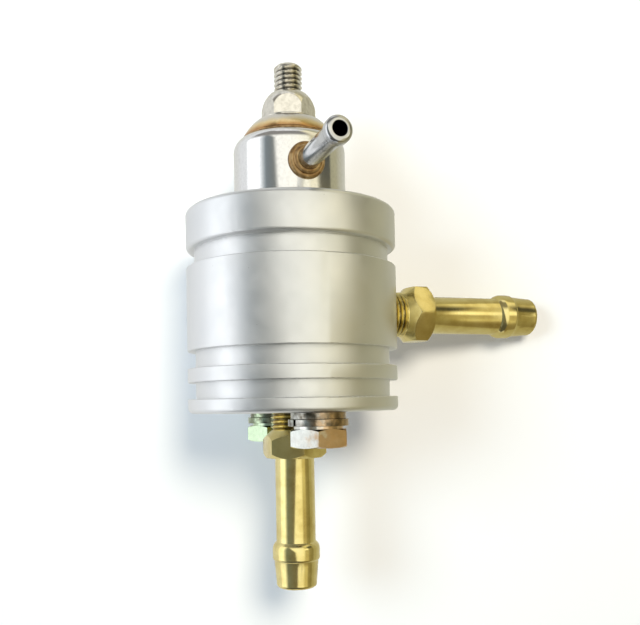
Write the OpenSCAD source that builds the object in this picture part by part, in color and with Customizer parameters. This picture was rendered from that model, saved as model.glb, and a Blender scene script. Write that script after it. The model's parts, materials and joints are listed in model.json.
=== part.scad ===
// Adjustable fuel pressure regulator.
// +Z runs up the axis to the adjuster, the origin is the centre of the foot's underside,
// the inlet points along +X, the vacuum nipple along -Y and the return along -Z.

/* [Housing] */
// Diameter of the bar that the housing and the clamp ring are turned from
body_d = 44.45; // [43.6:0.05:48]
// Height of the foot, below the lower groove
foot_h = 2.95; // [2:0.05:4]
// Height of the lower groove
low_groove_h = 3.4; // [2.5:0.1:4.5]
// Height of the land between the two grooves
land_h = 2.95; // [2:0.05:4]
// Height of the upper groove
high_groove_h = 3.6; // [2.5:0.1:4.5]
// Height of the plain barrel
barrel_h = 17.4; // [15:0.1:22]
// Height of the neck below the clamp ring
neck_h = 3.7; // [2.5:0.1:5]
// Depth of the grooves and of the neck
groove_depth = 1.7; // [0.8:0.1:1.8]
// Rounding of the foot's lower edge
foot_edge_r = 1.1; // [0.4:0.1:1.4]
// Rounding of the edges beside the grooves
edge_break = 0.25; // [0.1:0.05:0.5]
// Height of the spigot that the clamp ring screws on
spigot_h = 3.5; // [3:0.1:4]
// Diameter of the fuel chamber below the diaphragm
chamber_d = 26; // [22:0.5:30]
// Depth of the fuel chamber
chamber_h = 3; // [2.4:0.1:4]
// Diameter of the gallery round the valve seat
gallery_d = 10.6; // [9:0.1:12]
// Distance of the inlet's axis below the middle of the barrel
inlet_drop = 0.4; // [0:0.1:1]
// Diameter of the passage from the inlet to the gallery
passage_d = 6; // [4:0.1:8]
// Thickness of the web that holds the valve seat
web_h = 4; // [3:0.1:5]

/* [Clamp ring] */
// Height of the clamp ring
ring_h = 8.3; // [7:0.1:10]
// Thickness of its threaded wall
ring_wall = 2.275; // [2:0.025:3]
// Rounding of its lower edge
ring_low_edge_r = 0.9; // [0.3:0.1:1.4]
// Rounding of its upper edge
ring_top_edge_r = 1.1; // [0.3:0.1:1.4]

/* [Spring can] */
// Outside diameter of the can
can_d = 23.74; // [22.5:0.02:26]
// Height of the can, from the flange's underside
can_h = 19.5; // [18.5:0.1:22]
// Sheet thickness of the can
can_wall = 1; // [0.6:0.05:1.2]
// Outside radius of the can's shoulder
can_shoulder_r = 2.75; // [2:0.05:3.5]

/* [Adjuster] */
// Distance from the can's side in to the rim of the domed boss
boss_inset = 1.97; // [1.5:0.01:2.4]
// Diameter of the flat on the boss
boss_flat_d = 13.9; // [12.6:0.1:15]
// Height of the boss above the can
boss_h = 3.9; // [3:0.1:4.6]
// Radius of the dome
dome_r = 11.2; // [11:0.1:14]
// Diameter of the boss's spigot in the can
boss_spigot_d = 10; // [8:0.1:12]
// Length of that spigot
boss_spigot_h = 2; // [1.5:0.1:2.4]
// Width of the braze bead round the boss
boss_bead = 0.35; // [0.3:0.05:0.6]
// Thread diameter of the adjuster
adjuster_d = 6; // [5:0.1:6.4]
// Chamfer of the adjuster's ends
adjuster_chamfer = 0.6; // [0.3:0.05:0.8]
// Height that the adjuster stands above the lock nut
adjuster_out = 6.3; // [4:0.05:10]
// Distance across the flats of the adjuster's socket
socket_flats = 3; // [2:0.1:3.2]
// Depth of that socket
socket_depth = 3; // [2:0.1:4]
// Distance across the flats of the lock nut
nut_flats = 10; // [9:0.1:11]
// Height of the lock nut
nut_h = 5.5; // [4.5:0.1:6]
// Height of the centre of the lock nut's rounded top
nut_dome_h = 1.2; // [0.6:0.1:1.6]
// Outside diameter of the washer below the lock nut
nut_washer_d = 12.2; // [11.5:0.1:12.4]
// Thickness of that washer
nut_washer_t = 0.6; // [0.5:0.05:1.2]

/* [Vacuum nipple] */
// Height of the nipple's axis above the can's flange
nipple_rise = 12.1; // [9:0.1:13]
// Distance from the regulator's axis to the nipple's end
nipple_reach = 31; // [26:0.1:40]
// Outside diameter of the tube
nipple_d = 4.4; // [3.4:0.05:4.6]
// Diameter of the tube's bore
nipple_bore_d = 2.9; // [2:0.05:3]
// Diameter of the bulged end
bulge_d = 5.3; // [4.8:0.05:6]
// Length of the bulged end
bulge_h = 2.8; // [2.4:0.1:4]
// Rounding of the bulged end
bulge_edge_r = 0.9; // [0.5:0.05:1]
// Diameter of the braze collar on the can
collar_d = 7.6; // [7:0.1:9]
// Height of the collar
collar_h = 1.6; // [1.4:0.1:3]
// Rounding of the collar's two steps
collar_edge_r = 0.7; // [0.3:0.05:0.75]

/* [Hose fittings] */
// Thread diameter
port_d = 10; // [9:0.1:11]
// Length of the thread
port_thread_len = 12; // [11:0.1:13]
// Length of the inlet's thread that shows
inlet_thread_out = 3.4; // [3:0.1:5]
// Length of the return's thread that shows
return_thread_out = 4; // [3:0.1:5]
// Distance across the flats of the hexagon
port_hex_flats = 12; // [11.4:0.1:13]
// Length of the hexagon
port_hex_h = 5.7; // [5:0.1:7]
// Angle of the cone at the hexagon's inner end, from the axis
port_hex_cone = 45; // [35:1:60]
// Diameter of the stem
stem_d = 8.4; // [7.5:0.05:9]
// Length of the stem, from the hexagon to the barb
stem_h = 17.4; // [12:0.1:25]
// Diameter of the barb's crest
barb_d = 10.06; // [9.4:0.02:11]
// Length of the barb's crest
barb_h = 4.5; // [4:0.1:6]
// Rounding of the crest towards the stem
barb_flare_r = 2; // [1:0.1:2.4]
// Rounding of the crest towards the tip
barb_edge_r = 0.8; // [0.4:0.1:1]
// Diameter of the tip
tip_d = 8.6; // [8:0.05:9]
// Length of the tip's taper
tip_taper_h = 4.5; // [3:0.1:6]
// Length of the plain tip
tip_h = 1.1; // [1:0.1:3]
// Rounding of the tip's end
tip_edge_r = 0.8; // [0.3:0.1:0.9]
// Diameter of the bore
port_bore_d = 5.6; // [4.5:0.1:6]

/* [Foot bolts] */
// Distance between the two bolts
bolt_spacing = 32.2; // [30:0.1:33]
// Thread diameter of a bolt
bolt_d = 6.3; // [5:0.05:6.4]
// Length of thread in the housing
bolt_reach = 7.5; // [5:0.1:9]
// Distance across the flats of a bolt's head
bolt_flats = 10.7; // [10:0.1:11.2]
// Height of a bolt's head
bolt_head_h = 3.6; // [3:0.05:5]
// Diameter of the bearing face under a bolt's head
bearing_d = 9.6; // [9:0.1:10]
// Height of that bearing face
bearing_h = 0.55; // [0.3:0.05:0.8]
// Outside diameter of a flat washer
flat_washer_d = 10.8; // [10:0.1:12]
// Thickness of a flat washer
flat_washer_t = 1.3; // [0.6:0.05:1.6]
// Outside diameter of a spring washer
spring_washer_d = 11.8; // [11:0.1:12.6]
// Thickness of a spring washer
spring_washer_t = 1.35; // [1.2:0.05:2.4]
// Width of the split in a spring washer
washer_split = 0.7; // [0.4:0.1:1.2]

/* [Valve] */
// Thickness of the diaphragm
diaphragm_t = 0.8; // [0.5:0.05:1.2]
// Diameter of the valve disc
valve_d = 11; // [9:0.1:14]
// Thickness of the valve disc
valve_t = 1; // [0.8:0.05:1.4]
// Diameter of the valve disc's rivet
rivet_d = 3; // [2.4:0.1:3.6]
// Diameter of the rivet's head
rivet_head_d = 5; // [4.4:0.1:6]
// Height of the rivet's head
rivet_head_h = 0.8; // [0.5:0.1:1.2]
// Gap between the valve disc and its seat
valve_gap = 0.1; // [0.05:0.01:0.2]
// Outside diameter of the valve seat tube
seat_d = 6; // [5:0.1:7]
// Bore of the valve seat tube
seat_bore_d = 3.8; // [3:0.1:4.4]

/* [Pressure spring] */
// Mean diameter of the coil
coil_d = 13.8; // [12:0.1:14]
// Diameter of the wire
wire_d = 1.8; // [1.4:0.05:2.2]
// Number of turns
coil_turns = 4.5; // [3:0.25:5]
// Outside diameter of the spring seats
cup_d = 17.6; // [16.6:0.1:18.5]
// Sheet thickness of the lower seat
cup_t = 1; // [0.8:0.05:1.4]
// Height of the lower seat's rim
cup_rim_h = 1.8; // [1:0.1:3]
// Thickness of the upper seat
pusher_t = 2; // [1.8:0.1:2.6]
// Distance from the upper seat to the boss's spigot
pusher_drop = 2.8; // [2.5:0.1:4]
// Depth of the upper seat's pocket
pusher_pocket_h = 1; // [0.6:0.1:1.2]

/* [Fits] */
// Radial gap of threads and pressed pieces
thread_gap = 0.05; // [0.02:0.01:0.08]
// Radial gap where a piece passes another freely
free_gap = 0.3; // [0.2:0.05:0.4]

/* [Hidden] */
$fn = 96;

// Overshoot of a cut past the face that it opens
past = 1;

// Angles at which the hexagons and the washers' splits were left when tightened
nut_turn = 41;
port_turn = 30;
front_bolt_turn = 11;
rear_bolt_turn = 0;
front_split_turn = 200;
rear_split_turn = 150;

// Heights of the housing, from the foot up
body_r = body_d / 2;
groove_r = body_r - groove_depth;
spigot_r = body_r - ring_wall - thread_gap;
land_low = foot_h + low_groove_h;
land_top = land_low + land_h;
barrel_low = land_top + high_groove_h;
barrel_top = barrel_low + barrel_h;
ring_low = barrel_top + neck_h;
ring_top = ring_low + ring_h;
spigot_top = ring_low + spigot_h;
port_z = barrel_low + barrel_h / 2 - inlet_drop;
port_depth = port_thread_len - min(inlet_thread_out, return_thread_out) + past;
web_top = port_depth + web_h;

// Heights of the diaphragm, the can and the adjuster
flange_low = spigot_top + diaphragm_t;
flange_top = flange_low + can_wall;
flange_r = spigot_r - free_gap;
can_r = can_d / 2;
can_top = flange_low + can_h;
boss_r = can_r - boss_inset;
boss_top = can_top + boss_h;
boss_low = can_top - boss_spigot_h;
nut_low = boss_top + nut_washer_t;
nut_top = nut_low + nut_h;
adjuster_top = nut_top + adjuster_out;
nipple_z = flange_low + nipple_rise;

// Heights of the spring and the valve
valve_low = spigot_top - valve_t;
seat_top = valve_low - valve_gap;
cup_top = flange_low + cup_t;
pusher_top = boss_low - pusher_drop;
pusher_low = pusher_top - pusher_t;
adjuster_low = pusher_top - pusher_pocket_h + thread_gap;

// Places along a hose fitting, from the hexagon's inner end
barb_start = port_hex_h + stem_h;
barb_ridge = barb_start + barb_h;
tip_low = barb_ridge + tip_taper_h;
tail_len = tip_low + tip_h;

// Heights of the bolt stack, from the foot down
bearing_top = -flat_washer_t - spring_washer_t;
head_top = bearing_top - bearing_h;
head_low = head_top - bolt_head_h;

// Waste outside a rounded corner, with the corner's two faces along the axes
module corner_waste(round_r) {
    difference() {
        translate([0, -past]) square(round_r + past);
        translate([0, round_r]) circle(round_r);
    }
}

// Half outline of a turned band, from the axis out, with rounded outer edges
module band(r, low, high, low_round = 0, high_round = 0) {
    difference() {
        translate([0, low]) square([r, high - low]);
        if (low_round > 0) translate([r - low_round, low]) corner_waste(low_round);
        if (high_round > 0) translate([r - high_round, high]) mirror([0, 1]) corner_waste(high_round);
    }
}

// Hexagonal bar with its flats a given distance apart
module hexagon(flats, low, high, turn = 0) {
    translate([0, 0, low]) rotate(turn) linear_extrude(high - low) circle(d = flats / cos(30), $fn = 6);
}

// Bore along the axis
module bore(d, low, high) {
    translate([0, 0, low]) cylinder(d = d, h = high - low);
}

// Flat ring lying on its lower face
module washer(outer_d, inner_d, low, high) {
    difference() {
        bore(outer_d, low, high);
        bore(inner_d, low - past, high + past);
    }
}

// Housing with its grooves, chamber, gallery, ports and bolt holes
module housing_outline() {
    band(groove_r, foot_edge_r, ring_low);
    band(body_r, 0, foot_h, foot_edge_r, edge_break);
    band(body_r, land_low, land_top, edge_break, edge_break);
    band(body_r, barrel_low, barrel_top, edge_break, edge_break);
    band(spigot_r, barrel_top, spigot_top);
}

module housing() {
    color("silver") difference() {
        rotate_extrude() housing_outline();
        bore(chamber_d, spigot_top - chamber_h, spigot_top + past);
        bore(gallery_d, web_top, spigot_top);
        bore(seat_d + 2 * thread_gap, port_depth - past, web_top + past);
        bore(port_d + 2 * thread_gap, -past, port_depth);
        translate([0, 0, port_z]) rotate([0, 90, 0]) {
            bore(passage_d, 0, body_r);
            bore(port_d + 2 * thread_gap, body_r - port_depth, body_r + past);
        }
        for (side = [-1, 1])
            translate([0, side * bolt_spacing / 2, 0]) bore(bolt_d + 2 * thread_gap, -past, bolt_reach + past);
    }
}

// Ring that screws on the spigot and clamps the can's flange
module clamp_ring() {
    color("silver") rotate_extrude() difference() {
        band(body_r, ring_low, ring_top, ring_low_edge_r, ring_top_edge_r);
        translate([0, ring_low - past]) square([spigot_r + thread_gap, flange_top - ring_low + past]);
        translate([0, ring_low]) square([can_r + free_gap, ring_h + past]);
    }
}

// Drawn can with a flange below and a rounded shoulder above
module can_outline() {
    band(can_r, flange_low, can_top, 0, can_shoulder_r);
    band(flange_r, flange_low, flange_top);
}

module spring_can() {
    color("lightgray") difference() {
        rotate_extrude() difference() {
            can_outline();
            band(can_r - can_wall, flange_low - past, can_top - can_wall, 0, can_shoulder_r - can_wall);
        }
        bore(boss_spigot_d + 2 * thread_gap, boss_low, can_top + past);
        translate([0, 0, nipple_z]) rotate([90, 0, 0]) bore(nipple_d + 2 * thread_gap, 0, can_r + past);
    }
}

// Domed boss with the adjuster's thread
module adjuster_boss() {
    dome_z = boss_top - sqrt(dome_r * dome_r - boss_flat_d * boss_flat_d / 4);
    color("tan") difference() {
        union() {
            intersection() {
                bore(2 * boss_r, can_top, boss_top);
                translate([0, 0, dome_z]) sphere(dome_r);
            }
            bore(boss_spigot_d, boss_low, can_top);
        }
        bore(adjuster_d + 2 * thread_gap, boss_low - past, boss_top + past);
    }
}

// Braze bead in the corner between the boss and the can's shoulder
module boss_braze() {
    inner_r = boss_r + thread_gap;
    color("peru") rotate_extrude() difference() {
        polygon([
            [inner_r, can_top - can_wall], [inner_r + boss_bead, can_top - can_wall],
            [inner_r + boss_bead, can_top - boss_bead], [inner_r + boss_bead / 2, can_top],
            [inner_r, can_top + boss_bead / 2]
        ]);
        can_outline();
    }
}

// Stud with chamfered ends and a socket in its upper end
module adjuster_screw() {
    adjuster_r = adjuster_d / 2;
    end_r = adjuster_r - adjuster_chamfer;
    color("gainsboro") difference() {
        rotate_extrude() polygon([
            [0, adjuster_low], [end_r, adjuster_low], [adjuster_r, adjuster_low + adjuster_chamfer],
            [adjuster_r, adjuster_top - adjuster_chamfer], [end_r, adjuster_top], [0, adjuster_top]
        ]);
        hexagon(socket_flats, adjuster_top - socket_depth, adjuster_top + past);
    }
}

// Lock nut with a rounded top
module lock_nut() {
    nut_dome_r = 1.01 * nut_flats / 2 / cos(30);
    dome_z = nut_low + nut_dome_h;
    color("lightgray") difference() {
        intersection() {
            hexagon(nut_flats, nut_low, nut_top, nut_turn);
            union() {
                translate([0, 0, dome_z]) sphere(nut_dome_r);
                bore(2 * nut_dome_r, nut_low, dome_z);
            }
        }
        bore(adjuster_d + 2 * thread_gap, nut_low - past, nut_top + past);
    }
}

module lock_washer() {
    color("lightgray") washer(nut_washer_d, adjuster_d + 2 * free_gap, boss_top, nut_low);
}

// Steel tube with a bulged end
module vacuum_nipple() {
    inner_end = can_r - can_wall + thread_gap;
    color("slategray") translate([0, 0, nipple_z]) rotate([90, 0, 0]) difference() {
        rotate_extrude() {
            band(nipple_d / 2, inner_end, nipple_reach - bulge_edge_r);
            band(bulge_d / 2, nipple_reach - bulge_h, nipple_reach, bulge_edge_r, bulge_edge_r);
        }
        bore(nipple_bore_d, inner_end - past, nipple_reach + past);
    }
}

// Braze collar between the tube and the can, in two rounded steps
module collar_outline() {
    tube_r = nipple_d / 2 + thread_gap;
    collar_r = collar_d / 2;
    collar_low = can_r - can_wall;
    difference() {
        union() {
            band(collar_r, collar_low, can_r + collar_h / 2, 0, collar_edge_r);
            band((tube_r + collar_r) / 2, collar_low, can_r + collar_h, 0, collar_edge_r);
        }
        square([tube_r, can_r + collar_h + past]);
    }
}

module nipple_braze() {
    color("peru") difference() {
        translate([0, 0, nipple_z]) rotate([90, 0, 0]) rotate_extrude() collar_outline();
        bore(can_d, flange_low, can_top);
    }
}

// Brass hose tail along +Z, with the hexagon's inner end at zero
module hose_outline() {
    band(port_d / 2, -port_thread_len, past);
    band(stem_d / 2, 0, barb_ridge);
    band(barb_d / 2, barb_start, barb_ridge, barb_flare_r, barb_edge_r);
    polygon([
        [0, barb_ridge - barb_edge_r], [barb_d / 2 - barb_edge_r / 3, barb_ridge - barb_edge_r],
        [tip_d / 2, tip_low], [0, tip_low]
    ]);
    band(tip_d / 2, tip_low - past, tail_len, 0, tip_edge_r);
}

module hose_hexagon() {
    corner_r = port_hex_flats / 2 / cos(30);
    cone_h = (corner_r - port_d / 2) / tan(port_hex_cone);
    chamfer_h = corner_r - port_hex_flats / 2;
    intersection() {
        hexagon(port_hex_flats, 0, port_hex_h, port_turn);
        rotate_extrude() polygon([
            [0, 0], [port_d / 2, 0], [corner_r, cone_h],
            [corner_r, port_hex_h - chamfer_h], [port_hex_flats / 2, port_hex_h], [0, port_hex_h]
        ]);
    }
}

module hose_fitting() {
    color("goldenrod") difference() {
        union() {
            rotate_extrude() hose_outline();
            hose_hexagon();
        }
        bore(port_bore_d, -port_thread_len - past, tail_len + past);
    }
}

module inlet_fitting() {
    translate([body_r + inlet_thread_out, 0, port_z]) rotate([0, 90, 0]) hose_fitting();
}

module return_fitting() {
    translate([0, 0, -return_thread_out]) rotate([180, 0, 0]) hose_fitting();
}

// Bolt with its head below the foot, on one side of the return fitting
module foot_bolt(side, turn) {
    corner_r = bolt_flats / 2 / cos(30);
    chamfer_h = (corner_r - bolt_flats / 2) / 2;
    middle = (head_low + head_top) / 2;
    color("darkkhaki") translate([0, side * bolt_spacing / 2, 0]) {
        intersection() {
            hexagon(bolt_flats, head_low, head_top, turn);
            rotate_extrude() polygon([
                [0, head_low], [bolt_flats / 2, head_low], [corner_r, head_low + chamfer_h],
                [corner_r, head_top - chamfer_h], [bolt_flats / 2, head_top], [0, head_top]
            ]);
        }
        bore(bearing_d, middle, bearing_top);
        bore(bolt_d, middle, bolt_reach);
    }
}

module front_bolt() {
    foot_bolt(-1, front_bolt_turn);
}

module rear_bolt() {
    foot_bolt(1, rear_bolt_turn);
}

// Split spring washer above a bolt's head
module spring_washer(side, turn) {
    color("darkkhaki") translate([0, side * bolt_spacing / 2, 0]) difference() {
        washer(spring_washer_d, bolt_d + 2 * free_gap, bearing_top, -flat_washer_t);
        rotate(turn) translate([0, -washer_split / 2, bearing_top - past])
            cube([spring_washer_d, washer_split, spring_washer_t + 2 * past]);
    }
}

module front_spring_washer() {
    spring_washer(-1, front_split_turn);
}

module rear_spring_washer() {
    spring_washer(1, rear_split_turn);
}

module flat_washer(side) {
    color("darkkhaki") translate([0, side * bolt_spacing / 2, 0])
        washer(flat_washer_d, bolt_d + 2 * free_gap, -flat_washer_t, 0);
}

module front_flat_washer() {
    flat_washer(-1);
}

module rear_flat_washer() {
    flat_washer(1);
}

// Disc that the adjuster pushes against the spring
module upper_spring_seat() {
    pilot_d = coil_d - wire_d - 2 * free_gap;
    color("gray") difference() {
        union() {
            bore(cup_d, pusher_low, pusher_top);
            bore(pilot_d, pusher_low - cup_t, pusher_low);
        }
        bore(adjuster_d + 2 * free_gap, pusher_top - pusher_pocket_h, pusher_top + past);
    }
}

// Coil spring between the two seats, swept round the axis with a round wire
module pressure_spring() {
    sides = 10;
    steps = 20;
    rings = round(coil_turns * steps);
    low = cup_top + wire_d / 2 + thread_gap;
    rise = pusher_low - thread_gap - wire_d / 2 - low;
    points = [
        for (i = [0:rings], j = [0:sides - 1])
            let (around = 360 * i / steps, section = 360 * j / sides, r = coil_d / 2 + wire_d / 2 * cos(section))
            [r * cos(around), r * sin(around), low + rise * i / rings + wire_d / 2 * sin(section)]
    ];
    walls = [
        for (i = [0:rings - 1], j = [0:sides - 1])
            let (next = (j + 1) % sides)
            each [
                [i * sides + j, i * sides + next, (i + 1) * sides + next],
                [i * sides + j, (i + 1) * sides + next, (i + 1) * sides + j]
            ]
    ];
    ends = [[for (j = [sides - 1:-1:0]) j], [for (j = [0:sides - 1]) rings * sides + j]];
    color("dimgray") polyhedron(points, concat(walls, ends));
}

// Cup on the diaphragm that carries the spring
module lower_spring_seat() {
    cup_bore_d = coil_d + wire_d + 2 * free_gap;
    color("gray") difference() {
        bore(cup_d, flange_low, cup_top + cup_rim_h);
        bore(cup_bore_d, cup_top, cup_top + cup_rim_h + past);
        bore(rivet_d + 2 * thread_gap, flange_low - past, cup_top + past);
    }
}

// Rubber disc clamped between the spigot and the can's flange
module diaphragm() {
    color("black") washer(2 * flange_r, rivet_d + 2 * thread_gap, spigot_top, flange_low);
}

// Valve disc, riveted through the diaphragm and the cup
module valve_disc() {
    color("gray") {
        bore(valve_d, valve_low, spigot_top);
        bore(rivet_d, spigot_top, cup_top);
        bore(rivet_head_d, cup_top, cup_top + rivet_head_h);
    }
}

// Tube in the web of the housing, which the valve disc closes
module valve_seat() {
    color("goldenrod") washer(seat_d, seat_bore_d, port_depth, seat_top);
}

housing();
clamp_ring();
spring_can();
adjuster_boss();
boss_braze();
adjuster_screw();
lock_nut();
lock_washer();
vacuum_nipple();
nipple_braze();
inlet_fitting();
return_fitting();
front_bolt();
rear_bolt();
front_spring_washer();
rear_spring_washer();
front_flat_washer();
rear_flat_washer();
upper_spring_seat();
pressure_spring();
lower_spring_seat();
diaphragm();
valve_disc();
valve_seat();
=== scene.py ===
import json
import math

import bmesh
import bpy
from mathutils import Matrix, Vector

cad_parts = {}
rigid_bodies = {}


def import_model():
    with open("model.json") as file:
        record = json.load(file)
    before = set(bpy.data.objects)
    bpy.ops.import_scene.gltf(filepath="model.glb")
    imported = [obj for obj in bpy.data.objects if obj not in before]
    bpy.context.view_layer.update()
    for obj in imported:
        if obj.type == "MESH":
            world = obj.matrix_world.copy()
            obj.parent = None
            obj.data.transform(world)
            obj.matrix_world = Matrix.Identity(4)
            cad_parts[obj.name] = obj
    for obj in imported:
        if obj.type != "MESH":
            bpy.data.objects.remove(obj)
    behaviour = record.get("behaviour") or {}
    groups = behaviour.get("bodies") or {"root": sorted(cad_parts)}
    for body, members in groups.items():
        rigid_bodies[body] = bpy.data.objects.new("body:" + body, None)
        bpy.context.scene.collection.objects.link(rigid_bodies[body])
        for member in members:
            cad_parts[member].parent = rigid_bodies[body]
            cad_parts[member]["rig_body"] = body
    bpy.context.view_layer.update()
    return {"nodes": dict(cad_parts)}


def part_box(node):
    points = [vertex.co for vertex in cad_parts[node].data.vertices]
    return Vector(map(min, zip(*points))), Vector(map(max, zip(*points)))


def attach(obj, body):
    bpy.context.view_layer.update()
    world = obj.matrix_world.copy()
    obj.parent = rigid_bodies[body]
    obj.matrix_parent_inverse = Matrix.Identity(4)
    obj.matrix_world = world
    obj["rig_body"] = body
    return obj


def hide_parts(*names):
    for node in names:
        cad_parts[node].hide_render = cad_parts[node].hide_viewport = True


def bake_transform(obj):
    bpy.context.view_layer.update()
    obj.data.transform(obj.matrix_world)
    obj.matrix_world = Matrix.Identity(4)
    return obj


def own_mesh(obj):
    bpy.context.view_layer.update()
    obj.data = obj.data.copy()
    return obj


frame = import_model()

MM = 0.001
UP = Vector((0, 0, 1))

# Where the camera stands
VIEW_TURN = math.radians(-19)
VIEW_ROLL = math.radians(1.05)
VIEW_PITCH = math.radians(0.84)
CAMERA_DISTANCE = 166.7 * MM
CAMERA_OFFSET = 5.62 * MM
CAMERA_HEIGHT = 1.95 * MM
LENS_MM = 43.875
SENSOR_MM = 36
SHIFT_UP = 0.122
FORWARD = Vector((-math.sin(VIEW_TURN), math.cos(VIEW_TURN), 0))
RIGHT = FORWARD.cross(UP)

# Thread of the adjuster and of the two hose fittings
THREAD_PITCH = 1.0 * MM
THREAD_DEPTH = 0.58 * MM
THREAD_FLANK_SLOPE = 2.6
THREAD_ROOT_FLAT = 0.2
THREAD_SIDES = 72
THREAD_ROWS_PER_TURN = 12
RUN_OUT = 0.5 * MM
STUD_RADIUS = 3.0 * MM
STUD_CHAMFER = 0.6 * MM
PORT_RADIUS = 5.0 * MM
PORT_THREAD = 12.0 * MM
PORT_TAIL = 33.2 * MM

# Height over which the boss's heat tint fades out
TINT_HEIGHT = 3.9 * MM

# Stretch across the foot over which the bolts change their colour
FOOT_LEFT = -10 * MM
FOOT_RIGHT = 12 * MM

# Worn edges of the turned and pressed pieces
FINE_EDGE = 0.1 * MM
SOFT_EDGE = 0.18 * MM
NUT_EDGE = 0.3 * MM
SHARP_ANGLE = math.radians(23)

# Points closer than this are one point, and faces flatter than this are one face
SAME_POINT = 0.001 * MM
SAME_PLANE = math.radians(0.5)

# How far from a wall a point may lie and still count as on it
ON_WALL = 0.01 * MM

# Table behind the regulator and curved tent in front of it
TABLE_HALF = 1.5
TABLE_GAP = 0.1 * MM
TENT_RADIUS = 0.42
TENT_LOW = -2.5
TENT_HIGH = 1.4
TENT_HALF_TURN = math.radians(125)
TENT_STEPS = 48
TENT_EDGE_DEGREES = 130

BLACK = (0, 0, 0)
WHITE = (1, 1, 1)


# Camera


def make_camera():
    data = bpy.data.cameras.new("camera")
    data.lens = LENS_MM
    data.sensor_width = SENSOR_MM
    data.shift_y = SHIFT_UP
    data.clip_start = 0.01
    data.clip_end = 10
    up = UP * math.cos(VIEW_ROLL) + RIGHT * math.sin(VIEW_ROLL)
    right = FORWARD.cross(up)
    forward = FORWARD * math.cos(VIEW_PITCH) + up * math.sin(VIEW_PITCH)
    up = right.cross(forward)
    place = Matrix((right, up, -forward)).transposed().to_4x4()
    place.translation = RIGHT * CAMERA_OFFSET - FORWARD * CAMERA_DISTANCE + UP * CAMERA_HEIGHT
    camera = bpy.data.objects.new("camera", data)
    camera.matrix_world = place
    bpy.context.scene.collection.objects.link(camera)
    bpy.context.scene.camera = camera


# Node helpers


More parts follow.
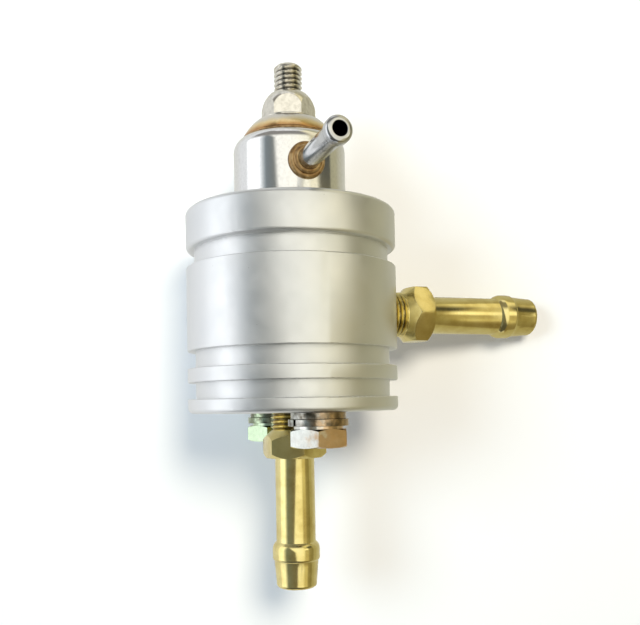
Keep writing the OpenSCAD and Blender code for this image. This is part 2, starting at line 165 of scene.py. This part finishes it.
class Paint:
    """A material's node tree, with short calls for the nodes that the finishes share."""

    def __init__(self, name):
        self.material = bpy.data.materials.new(name)
        self.material.use_nodes = True
        self.tree = self.material.node_tree
        self.tree.nodes.clear()
        self.output = self.add("ShaderNodeOutputMaterial")
        self.coordinates = self.add("ShaderNodeTexCoord").outputs["Object"]

    def add(self, kind, **settings):
        node = self.tree.nodes.new(kind)
        for key, value in settings.items():
            setattr(node, key, value)
        return node

    def link(self, source, target):
        self.tree.links.new(source, target)

    def axes(self):
        """The coordinates' three parts, by their letters."""
        node = self.add("ShaderNodeSeparateXYZ")
        self.link(self.coordinates, node.inputs["Vector"])
        return node.outputs

    def vector(self, operation, first, second=None):
        """The outputs of an operation on a vector socket and, where it needs one, a fixed vector."""
        node = self.add("ShaderNodeVectorMath", operation=operation)
        self.link(first, node.inputs[0])
        if second is not None:
            node.inputs[1].default_value = second
        return node.outputs

    def stretched(self, factors):
        """Coordinates scaled by one factor per axis, for marks that run one way."""
        mapping = self.add("ShaderNodeMapping")
        mapping.inputs["Scale"].default_value = factors
        self.link(self.coordinates, mapping.inputs["Vector"])
        return mapping.outputs["Vector"]

    def noise(self, size_mm, detail=3, vector=None):
        node = self.add("ShaderNodeTexNoise")
        node.inputs["Scale"].default_value = 1 / (size_mm * MM)
        node.inputs["Detail"].default_value = detail
        self.link(vector or self.coordinates, node.inputs["Vector"])
        return node.outputs["Fac"]

    def spots(self, size_mm, share):
        """One in places no larger than a share of the cells of a Voronoi pattern."""
        cells = self.add("ShaderNodeTexVoronoi")
        cells.inputs["Scale"].default_value = 1 / (size_mm * MM)
        self.link(self.coordinates, cells.inputs["Vector"])
        return self.ramp(cells.outputs["Distance"], [(0, WHITE), (share, WHITE), (share * 1.4, BLACK)])

    def ramp(self, value, stops):
        node = self.add("ShaderNodeValToRGB")
        elements = node.color_ramp.elements
        while len(elements) < len(stops):
            elements.new(1)
        for element, (place, colour) in zip(elements, stops):
            element.position = place
            element.color = (*colour, 1)
        self.link(value, node.inputs["Fac"])
        return node.outputs["Color"]

    def spread(self, value, low, high, start=0.3, end=0.7):
        """A value that runs from low to high while another one runs from start to end."""
        node = self.add("ShaderNodeMapRange")
        for key, number in (("From Min", start), ("From Max", end), ("To Min", low), ("To Max", high)):
            node.inputs[key].default_value = number
        self.link(value, node.inputs["Value"])
        return node.outputs["Result"]

    def combine(self, operation, first, second):
        """A sum, product or other operation on two values; each may be a socket or a number."""
        node = self.add("ShaderNodeMath", operation=operation)
        for key, value in ((0, first), (1, second)):
            if isinstance(value, bpy.types.NodeSocket):
                self.link(value, node.inputs[key])
            else:
                node.inputs[key].default_value = value
        return node.outputs["Value"]

    def mix(self, share, first, second):
        """Mixes two colours by a socket; each colour may be a socket or a fixed colour."""
        node = self.add("ShaderNodeMix", data_type="RGBA")
        share_input, first_input, second_input = (node.inputs[key] for key in (0, 6, 7))
        self.link(share, share_input)
        for target, value in ((first_input, first), (second_input, second)):
            if isinstance(value, bpy.types.NodeSocket):
                self.link(value, target)
            else:
                target.default_value = (*value, 1)
        return node.outputs[2]

    def bump(self, height, depth_mm, strength=0.5, under=None):
        node = self.add("ShaderNodeBump")
        node.inputs["Strength"].default_value = strength
        node.inputs["Distance"].default_value = depth_mm * MM
        self.link(height, node.inputs["Height"])
        if under:
            self.link(under, node.inputs["Normal"])
        return node.outputs["Normal"]

    def glow(self):
        return self.add("ShaderNodeEmission")

    def switch(self, share, first, second):
        """One shader or another, by a socket."""
        node = self.add("ShaderNodeMixShader")
        self.link(share, node.inputs["Fac"])
        self.link(first, node.inputs[1])
        self.link(second, node.inputs[2])
        return node.outputs["Shader"]

    def show(self, shader):
        self.link(shader, self.output.inputs["Surface"])
        return self.material

    def surface(self, colour, roughness, normal, metallic=1.0):
        shader = self.add("ShaderNodeBsdfPrincipled")
        shader.inputs["Metallic"].default_value = metallic
        self.link(colour, shader.inputs["Base Color"])
        self.link(roughness, shader.inputs["Roughness"])
        self.link(normal, shader.inputs["Normal"])
        return self.show(shader.outputs["BSDF"])


# Finishes


def painted_root_shade(paint, colour, end, axis, crest, dark):
    """Painted shade that darkens the roots of a thread with a crest radius, which runs along an axis up
    to an end.
    """
    offset = paint.vector("SUBTRACT", paint.coordinates, end)["Vector"]
    along = paint.vector("DOT_PRODUCT", offset, axis)["Value"]
    turned = paint.vector("CROSS_PRODUCT", offset, axis)["Vector"]
    off_axis = paint.vector("LENGTH", turned)["Value"]
    root = paint.spread(off_axis, 0.92, 0, crest - THREAD_DEPTH, crest - THREAD_DEPTH / 2)
    before = paint.spread(along, 1, 0, -0.2 * MM, 0)
    return paint.mix(paint.combine("MULTIPLY", root, before), colour, dark)


def satin_aluminium():
    paint = Paint("satin_aluminium")
    grain = paint.noise(0.16, detail=2)
    cloud = paint.noise(9, detail=3)
    colour = paint.ramp(cloud, [(0.3, (0.73, 0.745, 0.755)), (0.7, (0.78, 0.785, 0.785))])
    colour = paint.mix(paint.spots(2.6, 0.018), colour, (0.34, 0.33, 0.31))
    roughness = paint.spread(paint.noise(3, detail=4), 0.37, 0.45)
    return paint.surface(colour, roughness, paint.bump(grain, 0.012))


def plated_can():
    paint = Paint("plated_can")
    mottle = paint.noise(0.7, detail=5)
    streaks = paint.noise(0.5, detail=3, vector=paint.stretched((1, 1, 0.12)))
    colour = paint.ramp(mottle, [(0.3, (0.74, 0.735, 0.725)), (0.62, (0.8, 0.795, 0.785))])
    roughness = paint.spread(mottle, 0.17, 0.1)
    normal = paint.bump(streaks, 0.004, under=paint.bump(mottle, 0.006, strength=0.4))
    return paint.surface(colour, roughness, normal)


def tinted_steel(low, high):
    """Steel with a heat tint that runs from copper at one height to bare metal at another."""
    paint = Paint("tinted_steel")
    height = paint.spread(paint.axes()["Z"], 0, 1, low, high)
    wander = paint.combine("MULTIPLY", paint.noise(1.8, detail=4), 0.3)
    tint = [
        (0.15, (0.33, 0.17, 0.07)),
        (0.35, (0.62, 0.38, 0.15)),
        (0.55, (0.82, 0.64, 0.33)),
        (0.75, (0.76, 0.68, 0.52)),
        (0.95, (0.74, 0.71, 0.66)),
    ]
    colour = paint.ramp(paint.combine("ADD", height, wander), tint)
    roughness = paint.spread(paint.noise(0.6, detail=4), 0.13, 0.22)
    return paint.surface(colour, roughness, paint.bump(paint.noise(0.25), 0.005))


def copper_braze():
    paint = Paint("copper_braze")
    lumps = paint.noise(1.1, detail=3)
    tones = [
        (0.3, (0.25, 0.14, 0.06)),
        (0.5, (0.42, 0.27, 0.12)),
        (0.7, (0.57, 0.42, 0.23)),
    ]
    roughness = paint.spread(paint.noise(0.5), 0.4, 0.5)
    return paint.surface(paint.ramp(lumps, tones), roughness, paint.bump(lumps, 0.02))


def bright_zinc(name, thread_end=None):
    """Bright zinc; with a thread's end, for the stud, the thread below that end has painted shade in its
    roots.
    """
    paint = Paint(name)
    wear = paint.noise(0.9, detail=5)
    colour = paint.ramp(wear, [(0.3, (0.64, 0.61, 0.54)), (0.6, (0.77, 0.74, 0.67))])
    if thread_end:
        # Painted shade darkens the roots of the stud's thread.
        colour = painted_root_shade(paint, colour, thread_end, UP, STUD_RADIUS, (0.09, 0.08, 0.06))
    roughness = paint.spread(wear, 0.22, 0.11)
    return paint.surface(colour, roughness, paint.bump(paint.noise(0.3), 0.006))


def grey_steel():
    paint = Paint("grey_steel")
    drawn = paint.noise(0.16, detail=2, vector=paint.stretched((1, 0.04, 1)))
    cloud = paint.noise(1.6, detail=4)
    colour = paint.ramp(cloud, [(0.3, (0.5, 0.51, 0.52)), (0.7, (0.62, 0.62, 0.62))])
    roughness = paint.spread(drawn, 0.09, 0.17)
    return paint.surface(colour, roughness, paint.bump(drawn, 0.0015))


def brass(name, axis, thread_end=None):
    """Brass turned about an axis; with a thread's end, the thread before that end has painted shade in
    its roots.
    """
    paint = Paint(name)
    across = [1 if part else 0.02 for part in axis]
    rings = paint.noise(0.12, detail=2, vector=paint.stretched(across))
    tones = [
        (0.3, (0.66, 0.53, 0.2)),
        (0.55, (0.79, 0.67, 0.29)),
        (0.8, (0.83, 0.72, 0.35)),
    ]
    colour = paint.ramp(paint.noise(3.2, detail=5), tones)
    colour = paint.mix(paint.spots(3.4, 0.02), colour, (0.2, 0.13, 0.05))
    if thread_end:
        # Painted shade darkens the roots of the fitting's thread.
        colour = painted_root_shade(paint, colour, thread_end, axis, PORT_RADIUS, (0.11, 0.075, 0.025))
    roughness = paint.spread(rings, 0.11, 0.19)
    return paint.surface(colour, roughness, paint.bump(rings, 0.004, strength=0.6))


def yellow_zinc(name, shade):
    """Passivated zinc whose colour runs across the foot, pale green on the left, white in the middle and
    brown on the right: partly the zinc's own tint and partly painted reflection, lighter towards the
    bright left and darker towards the dark right; with dark tarnished spots, which are partly painted
    shade.
    """
    paint = Paint(name)
    across = paint.vector("DOT_PRODUCT", paint.coordinates, RIGHT)["Value"]
    place = paint.spread(across, 0, 1, FOOT_LEFT, FOOT_RIGHT)
    wander = paint.spread(paint.noise(2.2, detail=4), -0.1, 0.1)
    # Colour across the foot: the zinc's tint with a painted reflection, white towards the bright left
    # and brown towards the dark right.
    tint_and_sheen_bands = [
        (0.1, (0.6, 0.76, 0.52)),
        (0.32, (0.7, 0.78, 0.66)),
        (0.45, (0.82, 0.84, 0.79)),
        (0.62, (0.82, 0.81, 0.74)),
        (0.72, (0.68, 0.5, 0.33)),
        (0.9, (0.62, 0.42, 0.23)),
    ]
    colour = paint.ramp(paint.combine("ADD", place, wander), tint_and_sheen_bands)
    # Dark noise over the colour: tarnish where its share is small, as on the bolts, and mostly painted
    # shade where it is full, as on the washers.
    tarnish_and_shade = paint.spread(paint.noise(1.4, detail=4), shade / 4, shade)
    colour = paint.mix(tarnish_and_shade, colour, (0.09, 0.075, 0.05))
    roughness = paint.spread(paint.noise(0.7, detail=4), 0.1, 0.22)
    return paint.surface(colour, roughness, paint.bump(paint.noise(0.35), 0.01, strength=0.6))


def spring_steel():
    paint = Paint("spring_steel")
    cloud = paint.noise(1.2)
    colour = paint.ramp(cloud, [(0.3, (0.22, 0.22, 0.225)), (0.7, (0.36, 0.36, 0.37))])
    roughness = paint.spread(paint.noise(0.4), 0.25, 0.4)
    return paint.surface(colour, roughness, paint.bump(paint.noise(0.15), 0.008))


def diaphragm_rubber():
    paint = Paint("diaphragm_rubber")
    weave = paint.noise(0.3, detail=2)
    cloud = paint.noise(2.5)
    colour = paint.ramp(cloud, [(0.3, (0.03, 0.03, 0.034)), (0.7, (0.055, 0.055, 0.06))])
    roughness = paint.spread(weave, 0.6, 0.8)
    return paint.surface(colour, roughness, paint.bump(weave, 0.05, strength=0.6), metallic=0.0)


# Making of pieces


def solid_of(node):
    """The node's mesh with its points merged and its flat faces joined."""
    work = bmesh.new()
    work.from_mesh(frame["nodes"][node].data)
    bmesh.ops.remove_doubles(work, verts=work.verts, dist=SAME_POINT)
    bmesh.ops.dissolve_limit(work, angle_limit=SAME_PLANE, verts=work.verts, edges=work.edges)
    return work


def mesh_from(work, name):
    """A plain mesh with the points and faces of a bmesh, and nothing else that it carries."""
    bmesh.ops.recalc_face_normals(work, faces=work.faces)
    work.verts.index_update()
    points = [v.co.copy() for v in work.verts]
    faces = [[v.index for v in f.verts] for f in work.faces]
    work.free()
    mesh = bpy.data.meshes.new(name)
    mesh.from_pydata(points, [], faces)
    mesh.shade_smooth()
    mesh.set_sharp_from_angle(angle=SHARP_ANGLE)
    return mesh


def piece_from(work, node, material, part="finished"):
    """A piece that stands for a node or for a part of it."""
    name = node + "_" + part
    piece = bpy.data.objects.new(name, mesh_from(work, name))
    piece.data.materials.append(material)
    bpy.context.scene.collection.objects.link(piece)
    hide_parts(node)
    return piece


def riding_piece(work, node, material):
    """A piece that stands for a node and rides on the node's body."""
    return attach(piece_from(work, node, material), frame["nodes"][node]["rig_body"])


def dress(node, material, edge=FINE_EDGE):
    """A piece with the node's own shape and with its sharp edges broken."""
    piece = riding_piece(solid_of(node), node, material)
    bevel = piece.modifiers.new("broken_edges", "BEVEL")
    bevel.width = edge
    bevel.segments = 3
    bevel.limit_method = "ANGLE"
    bevel.angle_limit = SHARP_ANGLE
    bevel.harden_normals = True


# Threads


def break_edges(work, edge):
    """Rounds the sharp edges before a thread is cut, so that the thread stays crisp."""
    sharp = [e for e in work.edges if e.is_manifold and e.calc_face_angle() > SHARP_ANGLE]
    shape = {"segments": 2, "profile": 0.5, "affect": "EDGES", "clamp_overlap": True}
    bmesh.ops.bevel(work, geom=sharp, offset=edge, **shape)


def thread_cut(along, around, length):
    """Depth of the thread at a place along and around it, with its two ends run out."""
    phase = (along / THREAD_PITCH - around / math.tau) % 1
    flank = min(1, max(0, THREAD_FLANK_SLOPE * abs(phase - 0.5) - THREAD_ROOT_FLAT))
    ends = min(1, along / RUN_OUT, (length - along) / RUN_OUT)
    return THREAD_DEPTH * (1 - flank) * max(0, ends)


def open_wall(work, origin, axis, radius, start, end):
    """Takes out the plain wall between two places along an axis, and gives the edges of the hole."""

    def on_wall(vert):
        offset = vert.co - origin
        along = offset.dot(axis)
        off_axis = (offset - axis * along).length
        return abs(off_axis - radius) < ON_WALL and start - ON_WALL < along < end + ON_WALL

    walls = [f for f in work.faces if all(on_wall(v) for v in f.verts)]
    bmesh.ops.delete(work, geom=walls, context="FACES")
    return [e for e in work.edges if e.is_boundary]


def thread_rings(work, origin, axis, radius, start, end):
    """Rings of points along a helical thread, joined by faces."""
    side = axis.orthogonal().normalized()
    other = axis.cross(side)
    length = end - start
    rows = round(length / THREAD_PITCH * THREAD_ROWS_PER_TURN)
    rings = []
    for i in range(rows + 1):
        along = RUN_OUT / 4 + (length - RUN_OUT / 2) * i / rows
        ring = []
        for j in range(THREAD_SIDES):
            around = math.tau * j / THREAD_SIDES
            r = radius - thread_cut(along, around, length)
            out = side * math.cos(around) + other * math.sin(around)
            ring.append(work.verts.new(origin + axis * (start + along) + out * r))
        rings.append(ring)
    for low, high in zip(rings, rings[1:]):
        for j in range(THREAD_SIDES):
            k = (j + 1) % THREAD_SIDES
            work.faces.new((low[j], low[k], high[k], high[j]))
    return rings


def cut_thread(work, origin, axis, radius, start, end):
    """Swaps the plain wall between two places along an axis for a wall with a helical thread."""
    rims = open_wall(work, origin, axis, radius, start, end)
    rings = thread_rings(work, origin, axis, radius, start, end)
    middle = (start + end) / 2
    for ring, far in ((rings[0], False), (rings[-1], True)):
        loop = [work.edges.get((a, b)) for a, b in zip(ring, ring[1:] + ring[:1])]
        rim = [e for e in rims if ((e.verts[0].co - origin).dot(axis) > middle) == far]
        bmesh.ops.bridge_loops(work, edges=loop + rim)


def threaded_stud():
    low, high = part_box("adjuster_screw")
    start = low.z + STUD_CHAMFER
    end = high.z - STUD_CHAMFER
    work = solid_of("adjuster_screw")
    break_edges(work, FINE_EDGE)
    cut_thread(work, Vector((0, 0, 0)), UP, STUD_RADIUS, start, end)
    riding_piece(work, "adjuster_screw", bright_zinc("bright_zinc_stud", Vector((0, 0, end))))


def threaded_fitting(node, tip, axis):
    """A hose fitting whose thread ends where the hexagon starts, a tail's length before the tip."""
    end = tip - axis * PORT_TAIL
    work = solid_of(node)
    break_edges(work, FINE_EDGE)
    cut_thread(work, end, axis, PORT_RADIUS, -PORT_THREAD, 0)
    riding_piece(work, node, brass(node + "_brass", axis, end))


def hose_fittings():
    low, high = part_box("inlet_fitting")
    inlet_tip = Vector((high.x, 0, (low.z + high.z) / 2))
    return_tip = Vector((0, 0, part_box("return_fitting")[0].z))
    threaded_fitting("inlet_fitting", inlet_tip, Vector((1, 0, 0)))
    threaded_fitting("return_fitting", return_tip, -UP)


# Pieces inside


def finish_inside(steel):
    """The rigid pieces inside keep their own solids and get their finishes."""
    finishes = {
        "upper_spring_seat": steel,
        "lower_spring_seat": steel,
        "valve_disc": steel,
        "valve_seat": brass("valve_seat_brass", UP),
    }
    for node, material in finishes.items():
        frame["nodes"][node].data.materials.clear()
        frame["nodes"][node].data.materials.append(material)


def half_of(node, middle, outward):
    """The half of a node's solid that lies outward of a point, with its cut closed."""
    work = solid_of(node)
    everything = work.verts[:] + work.edges[:] + work.faces[:]
    bmesh.ops.bisect_plane(
        work, geom=everything, plane_co=middle, plane_no=outward, clear_inner=True
    )
    bmesh.ops.holes_fill(work, edges=[e for e in work.edges if e.is_boundary])
    return work


def flexing_spring():
    """The spring cut into an upper and a lower half, each with its cut closed and its place baked into
    its points.
    """
    material = spring_steel()
    low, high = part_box("pressure_spring")
    middle = (low + high) / 2
    halves = (("upper", UP, high, "spring_pusher"), ("lower", -UP, low, "valve"))
    for part, outward, end, body in halves:
        work = half_of("pressure_spring", middle, outward)
        piece = piece_from(work, "pressure_spring", material, part)
        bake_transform(piece)


def flexing_diaphragm():
    """The diaphragm rides on its own body, with a mesh of its own."""
    piece = riding_piece(solid_of("diaphragm"), "diaphragm", diaphragm_rubber())
    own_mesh(piece)


# The whole regulator


def dress_can(zinc, steel):
    """The spring can with the boss, the nut and the nipple on it."""
    braze = copper_braze()
    can_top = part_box("spring_can")[1].z
    dress("spring_can", plated_can())
    dress("adjuster_boss", tinted_steel(can_top, can_top + TINT_HEIGHT), SOFT_EDGE)
    dress("boss_braze", braze, SOFT_EDGE)
    dress("lock_nut", zinc, NUT_EDGE)
    dress("lock_washer", zinc, SOFT_EDGE)
    dress("vacuum_nipple", steel)
    dress("nipple_braze", braze, SOFT_EDGE)


def dress_foot():
    """The two bolts under the foot with their washers, which are darker with painted shade where they
    sit between the foot and the bolt heads.
    """
    bolt_zinc = yellow_zinc("yellow_zinc_bolts", 0.2)
    # The washers get the full share of dark, mostly painted shade between the foot and the bolt heads.
    washer_zinc = yellow_zinc("yellow_zinc_washers", 1.0)
    for side in ("front", "rear"):
        dress(side + "_bolt", bolt_zinc, SOFT_EDGE)
        dress(side + "_spring_washer", washer_zinc)
        dress(side + "_flat_washer", washer_zinc)


def dress_regulator():
    aluminium = satin_aluminium()
    steel = grey_steel()
    dress("housing", aluminium)
    dress("clamp_ring", aluminium)
    dress_can(bright_zinc("bright_zinc"), steel)
    dress_foot()
    threaded_stud()
    hose_fittings()
    finish_inside(steel)
    flexing_spring()
    flexing_diaphragm()


# Table


def table_seen(paint):
    """The white table as the camera sees it, lifted towards white away from the regulator."""
    tones = paint.ramp(paint.noise(60, detail=2), [(0.3, (0.86, 0.86, 0.87)), (0.7, (0.88, 0.88, 0.88))])
    white = paint.add("ShaderNodeBsdfDiffuse")
    paint.link(tones, white.inputs["Color"])
    away = paint.vector("LENGTH", paint.coordinates)["Value"]
    lift = paint.glow()
    lift.inputs["Color"].default_value = (0.88, 0.94, 1.0, 1)
    paint.link(paint.spread(away, 0.1, 0.72, 0.12, 0.5), lift.inputs["Strength"])
    seen = paint.add("ShaderNodeAddShader")
    paint.link(white.outputs["BSDF"], seen.inputs[0])
    paint.link(lift.outputs["Emission"], seen.inputs[1])
    return seen.outputs["Shader"]


def table_reflected(paint):
    """The even glow that the table is to the regulator's reflections, warm on the right."""
    warmth = paint.spread(paint.axes()["X"], 0, 1, -0.06, 0.08)
    glow = paint.glow()
    paint.link(paint.ramp(warmth, [(0, (0.96, 0.98, 1.0)), (1, (0.5, 0.47, 0.3))]), glow.inputs["Color"])
    glow.inputs["Strength"].default_value = 0.95
    return glow.outputs["Emission"]


def table_finish():
    """White table, which is clear from behind and lets the lamps through."""
    paint = Paint("white_table")
    path = paint.add("ShaderNodeLightPath").outputs
    front = paint.switch(path["Is Camera Ray"], table_reflected(paint), table_seen(paint))
    behind = paint.add("ShaderNodeNewGeometry").outputs["Backfacing"]
    clear = paint.add("ShaderNodeBsdfTransparent").outputs["BSDF"]
    passing = paint.combine("MAXIMUM", behind, path["Is Shadow Ray"])
    return paint.show(paint.switch(passing, front, clear))


def make_table():
    """The table that the regulator lies on, square to the view and touching the body's back."""
    body_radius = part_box("clamp_ring")[1].x
    middle = FORWARD * (body_radius + TABLE_GAP)
    across = RIGHT * TABLE_HALF
    upward = UP * TABLE_HALF
    corners = [
        middle - across - upward,
        middle + across - upward,
        middle + across + upward,
        middle - across + upward,
    ]
    mesh = bpy.data.meshes.new("table")
    mesh.from_pydata(corners, [], [[0, 1, 2, 3]])
    mesh.materials.append(table_finish())
    table = bpy.data.objects.new("table", mesh)
    bpy.context.scene.collection.objects.link(table)


# Tent


class TentPaint(Paint):
    """Glow laid out by the angle round the regulator's axis, in degrees, and by the height."""

    def __init__(self):
        super().__init__("tent_glow")
        axes = self.axes()
        self.height = axes["Z"]
        self.angle = self.combine("ARCTAN2", axes["X"], self.combine("MULTIPLY", axes["Y"], -1))

    def by_angle(self, stops):
        edge = TENT_EDGE_DEGREES
        share = self.spread(self.angle, 0, 1, math.radians(-edge), math.radians(edge))
        return self.ramp(share, [((angle + edge) / (2 * edge), colour) for angle, colour in stops])

    def by_height(self, stops, bottom, top):
        share = self.spread(self.height, 0, 1, bottom, top)
        return self.ramp(share, [((z - bottom) / (top - bottom), colour) for z, colour in stops])


def room_walls(paint):
    """A bright window on the left, a pale middle and a dark right."""
    return paint.by_angle([
        (-130, (0.55, 0.62, 0.74)),
        (-106, (0.6, 0.66, 0.76)),
        (-98, (1.46, 1.5, 1.54)),
        (-78, (1.54, 1.58, 1.62)),
        (-62, (1.78, 1.8, 1.84)),
        (-54, (1.3, 1.3, 1.24)),
        (10, (1.3, 1.27, 1.14)),
        (40, (1.24, 1.19, 0.95)),
        (56, (0.42, 0.37, 0.2)),
        (92, (0.28, 0.25, 0.13)),
        (108, (0.5, 0.47, 0.3)),
    ])


def with_dark_panel(paint, room):
    """A dark panel stands left of the middle, and its right edge leans to the left."""
    tones = [
        (-58, (0.42, 0.52, 0.62)),
        (-46, (0.22, 0.26, 0.28)),
        (-10, (0.22, 0.21, 0.17)),
    ]
    panel = paint.by_angle(tones)
    right_of_start = paint.spread(paint.angle, 0, 1, math.radians(-66), math.radians(-47))
    lean = paint.combine("MULTIPLY", paint.height, math.radians(85))
    leaning = paint.combine("ADD", paint.angle, lean)
    left_of_end = paint.spread(leaning, 1, 0, math.radians(-12), math.radians(-5))
    return paint.mix(paint.combine("MULTIPLY", right_of_start, left_of_end), room, panel)


def with_strips(paint, room):
    """Bright strips lie one above the other on the right."""
    beside = paint.by_angle([(42, BLACK), (48, WHITE), (62, WHITE), (68, BLACK)])
    tones = [
        (-0.3, (0.45, 0.38, 0.21)),
        (-0.18, (0.85, 0.77, 0.48)),
        (-0.1, (0.65, 0.58, 0.34)),
        (0.01, (0.55, 0.48, 0.28)),
        (0.06, (1.5, 1.42, 1.1)),
        (0.13, (1.5, 1.42, 1.1)),
        (0.19, (0.75, 0.67, 0.42)),
    ]
    return paint.mix(beside, room, paint.by_height(tones, -0.3, 0.3))


def with_dark_corner(paint, room):
    """A dark corner lies far to the right, above the body."""
    beside = paint.by_angle([(58, BLACK), (66, WHITE), (104, WHITE), (112, BLACK)])
    raised = paint.spread(paint.height, 0, 1, 0.11, 0.19)
    return paint.mix(paint.combine("MULTIPLY", beside, raised), room, (0.09, 0.09, 0.075))


def with_ceiling_and_ground(paint, room):
    """The ceiling is dim, but warm and bright on the right, and the ground is dark."""
    ceiling = paint.by_angle([(40, (0.3, 0.29, 0.27)), (58, (1.05, 0.96, 0.66))])
    room = paint.mix(paint.spread(paint.height, 0, 1, 0.27, 0.46), room, ceiling)
    ground = paint.by_angle([(20, (0.11, 0.115, 0.11)), (50, (0.27, 0.22, 0.11))])
    return paint.mix(paint.spread(paint.height, 1, 0, -0.42, -0.18), room, ground)


def tent_finish():
    paint = TentPaint()
    room = room_walls(paint)
    for add_to in (with_dark_panel, with_strips, with_dark_corner, with_ceiling_and_ground):
        room = add_to(paint, room)
    glow = paint.glow()
    paint.link(room, glow.inputs["Color"])
    return paint.show(glow.outputs["Emission"])


def tent_mesh():
    work = bmesh.new()
    columns = []
    for i in range(TENT_STEPS + 1):
        angle = TENT_HALF_TURN * (2 * i / TENT_STEPS - 1)
        x = TENT_RADIUS * math.sin(angle)
        y = -TENT_RADIUS * math.cos(angle)
        columns.append([work.verts.new((x, y, z)) for z in (TENT_LOW, TENT_HIGH)])
    for left, right in zip(columns, columns[1:]):
        work.faces.new((left[0], right[0], right[1], left[1]))
    mesh = bpy.data.meshes.new("tent")
    work.to_mesh(mesh)
    work.free()
    return mesh


def make_tent():
    """Curved screen round the front, seen only by the regulator's reflections."""
    mesh = tent_mesh()
    mesh.materials.append(tent_finish())
    tent = bpy.data.objects.new("tent", mesh)
    tent.rotation_euler = (0, 0, VIEW_TURN)
    tent.visible_camera = False
    tent.visible_diffuse = False
    tent.visible_shadow = False
    bpy.context.scene.collection.objects.link(tent)


# Lamps and world


def make_lamp(name, place, colour, watts, size):
    """A round lamp that points at the origin."""
    data = bpy.data.lights.new(name, "AREA")
    data.shape = "DISK"
    data.size = size
    data.color = colour
    data.energy = watts
    lamp = bpy.data.objects.new(name, data)
    lamp.location = place
    lamp.rotation_euler = (-place).to_track_quat("-Z", "Y").to_euler()
    lamp.visible_camera = False
    lamp.visible_glossy = False
    bpy.context.scene.collection.objects.link(lamp)


def make_lamps():
    """A warm lamp before the regulator on its right, and a cool one on its left."""
    warm_place = RIGHT * 0.14 - FORWARD * 0.5 + UP * 0.2
    make_lamp("warm_lamp", warm_place, (1.0, 0.93, 0.76), watts=2.3, size=0.2)
    cool_place = -RIGHT * 0.4 - FORWARD * 0.45 + UP * 0.1
    make_lamp("cool_lamp", cool_place, (0.68, 0.86, 1.0), watts=2.0, size=0.3)


def make_world():
    """White to the camera, to reflections and through glass, and a dim fill light otherwise."""
    world = bpy.data.worlds.new("white_room")
    world.use_nodes = True
    tree = world.node_tree
    tree.nodes.clear()
    path = tree.nodes.new("ShaderNodeLightPath")
    shown = path.outputs["Is Camera Ray"]
    for ray in ("Is Glossy Ray", "Is Transmission Ray"):
        either = tree.nodes.new("ShaderNodeMath")
        either.operation = "MAXIMUM"
        tree.links.new(shown, either.inputs[0])
        tree.links.new(path.outputs[ray], either.inputs[1])
        shown = either.outputs["Value"]
    strength = tree.nodes.new("ShaderNodeMapRange")
    strength.inputs["To Min"].default_value = 0.26
    strength.inputs["To Max"].default_value = 1
    tree.links.new(shown, strength.inputs["Value"])
    background = tree.nodes.new("ShaderNodeBackground")
    background.inputs["Color"].default_value = (1, 1, 1, 1)
    tree.links.new(strength.outputs["Result"], background.inputs["Strength"])
    output = tree.nodes.new("ShaderNodeOutputWorld")
    tree.links.new(background.outputs["Background"], output.inputs["Surface"])
    bpy.context.scene.world = world


def make_stage():
    make_table()
    make_tent()
    make_lamps()
    make_world()


make_camera()
dress_regulator()
make_stage()
bpy.context.scene.view_settings.view_transform = "Standard"
